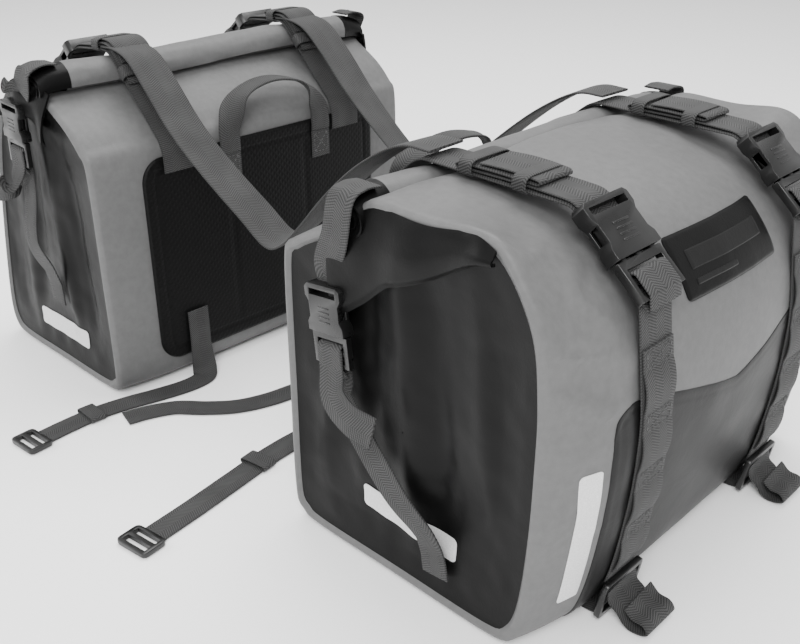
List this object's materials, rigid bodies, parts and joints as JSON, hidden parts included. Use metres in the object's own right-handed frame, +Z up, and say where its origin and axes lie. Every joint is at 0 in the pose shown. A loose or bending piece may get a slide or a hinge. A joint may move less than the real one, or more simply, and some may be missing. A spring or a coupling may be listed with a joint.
{
  "type": "saddlebag pair",
  "caption": "Pair of roll-top waterproof saddlebags joined by two yoke straps, with compression straps, side-release buckles, carry handles and tie-down straps.",
  "frame": {"origin": "on the ground, at the middle of the box round both bags", "axes": "+X across the pair towards the right bag, +Y along the bags, +Z up"},
  "size_m": [0.7819, 0.5387, 0.3302],
  "materials": {
    "grey_tarpaulin": "satin coated fabric",
    "black_tarpaulin": "satin coated fabric",
    "charcoal_tarpaulin": "satin coated fabric",
    "black_sheet": "matte embossed sheet",
    "webbing": "woven",
    "buckle_plastic": "moulded satin",
    "board_plastic": "sheet"
  },
  "bodies": {
    "right_bag": {"front_yoke_strap": "webbing", "rear_yoke_strap": "webbing", "right_back_board": "board_plastic", "right_back_panel": "black_sheet", "right_front_compression_housing": "buckle_plastic", "right_front_compression_strap": "webbing", "right_front_daisy_strap": "webbing", "right_front_end_housing": "buckle_plastic", "right_front_end_strap": "webbing", "right_front_end_tab": "webbing", "right_front_gusset": "black_tarpaulin", "right_outer_cover": "charcoal_tarpaulin", "right_rear_compression_housing": "buckle_plastic", "right_rear_compression_strap": "webbing", "right_rear_daisy_strap": "webbing", "right_rear_end_housing": "buckle_plastic", "right_rear_end_strap": "webbing", "right_rear_end_tab": "webbing", "right_rear_gusset": "black_tarpaulin", "right_roll_top": "grey_tarpaulin", "right_shell": "grey_tarpaulin", "right_tie_down_buckle": "buckle_plastic", "right_tie_down_strap": "webbing"},
    "left_bag": {"left_back_board": "board_plastic", "left_back_panel": "black_sheet", "left_front_compression_housing": "buckle_plastic", "left_front_compression_strap": "webbing", "left_front_daisy_strap": "webbing", "left_front_end_housing": "buckle_plastic", "left_front_end_strap": "webbing", "left_front_end_tab": "webbing", "left_front_gusset": "black_tarpaulin", "left_outer_cover": "charcoal_tarpaulin", "left_rear_compression_housing": "buckle_plastic", "left_rear_compression_strap": "webbing", "left_rear_daisy_strap": "webbing", "left_rear_end_housing": "buckle_plastic", "left_rear_end_strap": "webbing", "left_rear_end_tab": "webbing", "left_rear_gusset": "black_tarpaulin", "left_roll_top": "grey_tarpaulin", "left_shell": "grey_tarpaulin", "left_tie_down_buckle": "buckle_plastic", "left_tie_down_strap": "webbing", "left_tie_down_tail": "webbing"},
    "left_carry_handle": {"left_carry_handle": "webbing"},
    "left_front_compression_tongue": {"left_front_compression_tongue": "buckle_plastic"},
    "left_front_end_tongue": {"left_front_end_tongue": "buckle_plastic"},
    "left_front_ladder_lock": {"left_front_ladder_lock": "buckle_plastic"},
    "left_rear_compression_tongue": {"left_rear_compression_tongue": "buckle_plastic"},
    "left_rear_end_tongue": {"left_rear_end_tongue": "buckle_plastic"},
    "left_rear_ladder_lock": {"left_rear_ladder_lock": "buckle_plastic"},
    "right_carry_handle": {"right_carry_handle": "webbing"},
    "right_front_compression_tongue": {"right_front_compression_tongue": "buckle_plastic"},
    "right_front_end_tongue": {"right_front_end_tongue": "buckle_plastic"},
    "right_front_ladder_lock": {"right_front_ladder_lock": "buckle_plastic"},
    "right_rear_compression_tongue": {"right_rear_compression_tongue": "buckle_plastic"},
    "right_rear_end_tongue": {"right_rear_end_tongue": "buckle_plastic"},
    "right_rear_ladder_lock": {"right_rear_ladder_lock": "buckle_plastic"}
  },
  "joints": [
    {"name": "saddle_span", "type": "slide", "parent": "right_bag", "child": "left_bag", "axis": [-1, 0, 0], "range_m": [0, 0.05], "deforming": ["front_yoke_strap", "rear_yoke_strap"]},
    {"name": "left_handle_swing", "type": "hinge", "parent": "left_bag", "child": "left_carry_handle", "pos_m": [-0.1401, 0.012, 0.226], "axis": [0, 1, 0], "range_deg": [0, 172]},
    {"name": "left_front_compression_release", "type": "slide", "parent": "left_bag", "child": "left_front_compression_tongue", "axis": [-0.7769, 0, -0.6296], "range_m": [0, 0.026]},
    {"name": "left_front_end_release", "type": "slide", "parent": "left_bag", "child": "left_front_end_tongue", "axis": [-0.0404, 0, -0.9992], "range_m": [0, 0.026]},
    {"name": "left_front_ladder_swing", "type": "hinge", "parent": "left_bag", "child": "left_front_ladder_lock", "pos_m": [-0.38298, -0.108, 0.03642], "axis": [0, 1, 0], "range_deg": [0, 45]},
    {"name": "left_rear_compression_release", "type": "slide", "parent": "left_bag", "child": "left_rear_compression_tongue", "axis": [-0.7769, 0, -0.6296], "range_m": [0, 0.026]},
    {"name": "left_rear_end_release", "type": "slide", "parent": "left_bag", "child": "left_rear_end_tongue", "axis": [-0.0404, 0, -0.9992], "range_m": [0, 0.026]},
    {"name": "left_rear_ladder_swing", "type": "hinge", "parent": "left_bag", "child": "left_rear_ladder_lock", "pos_m": [-0.38298, 0.108, 0.03642], "axis": [0, 1, 0], "range_deg": [0, 45]},
    {"name": "right_handle_swing", "type": "hinge", "parent": "right_bag", "child": "right_carry_handle", "pos_m": [0.1105, -0.012, 0.226], "axis": [0, 1, 0], "range_deg": [-172, 0]},
    {"name": "right_front_compression_release", "type": "slide", "parent": "right_bag", "child": "right_front_compression_tongue", "axis": [0.7467, 0, -0.6652], "range_m": [0, 0.026]},
    {"name": "right_front_end_release", "type": "slide", "parent": "right_bag", "child": "right_front_end_tongue", "axis": [0.1152, 0, -0.9933], "range_m": [0, 0.026]},
    {"name": "right_front_ladder_swing", "type": "hinge", "parent": "right_bag", "child": "right_front_ladder_lock", "pos_m": [0.37646, -0.108, 0.03645], "axis": [0, 1, 0], "range_deg": [-45, 0]},
    {"name": "right_rear_compression_release", "type": "slide", "parent": "right_bag", "child": "right_rear_compression_tongue", "axis": [0.7467, 0, -0.6652], "range_m": [0, 0.026]},
    {"name": "right_rear_end_release", "type": "slide", "parent": "right_bag", "child": "right_rear_end_tongue", "axis": [0.1152, 0, -0.9933], "range_m": [0, 0.026]},
    {"name": "right_rear_ladder_swing", "type": "hinge", "parent": "right_bag", "child": "right_rear_ladder_lock", "pos_m": [0.37646, 0.108, 0.03645], "axis": [0, 1, 0], "range_deg": [-45, 0]}
  ]
}
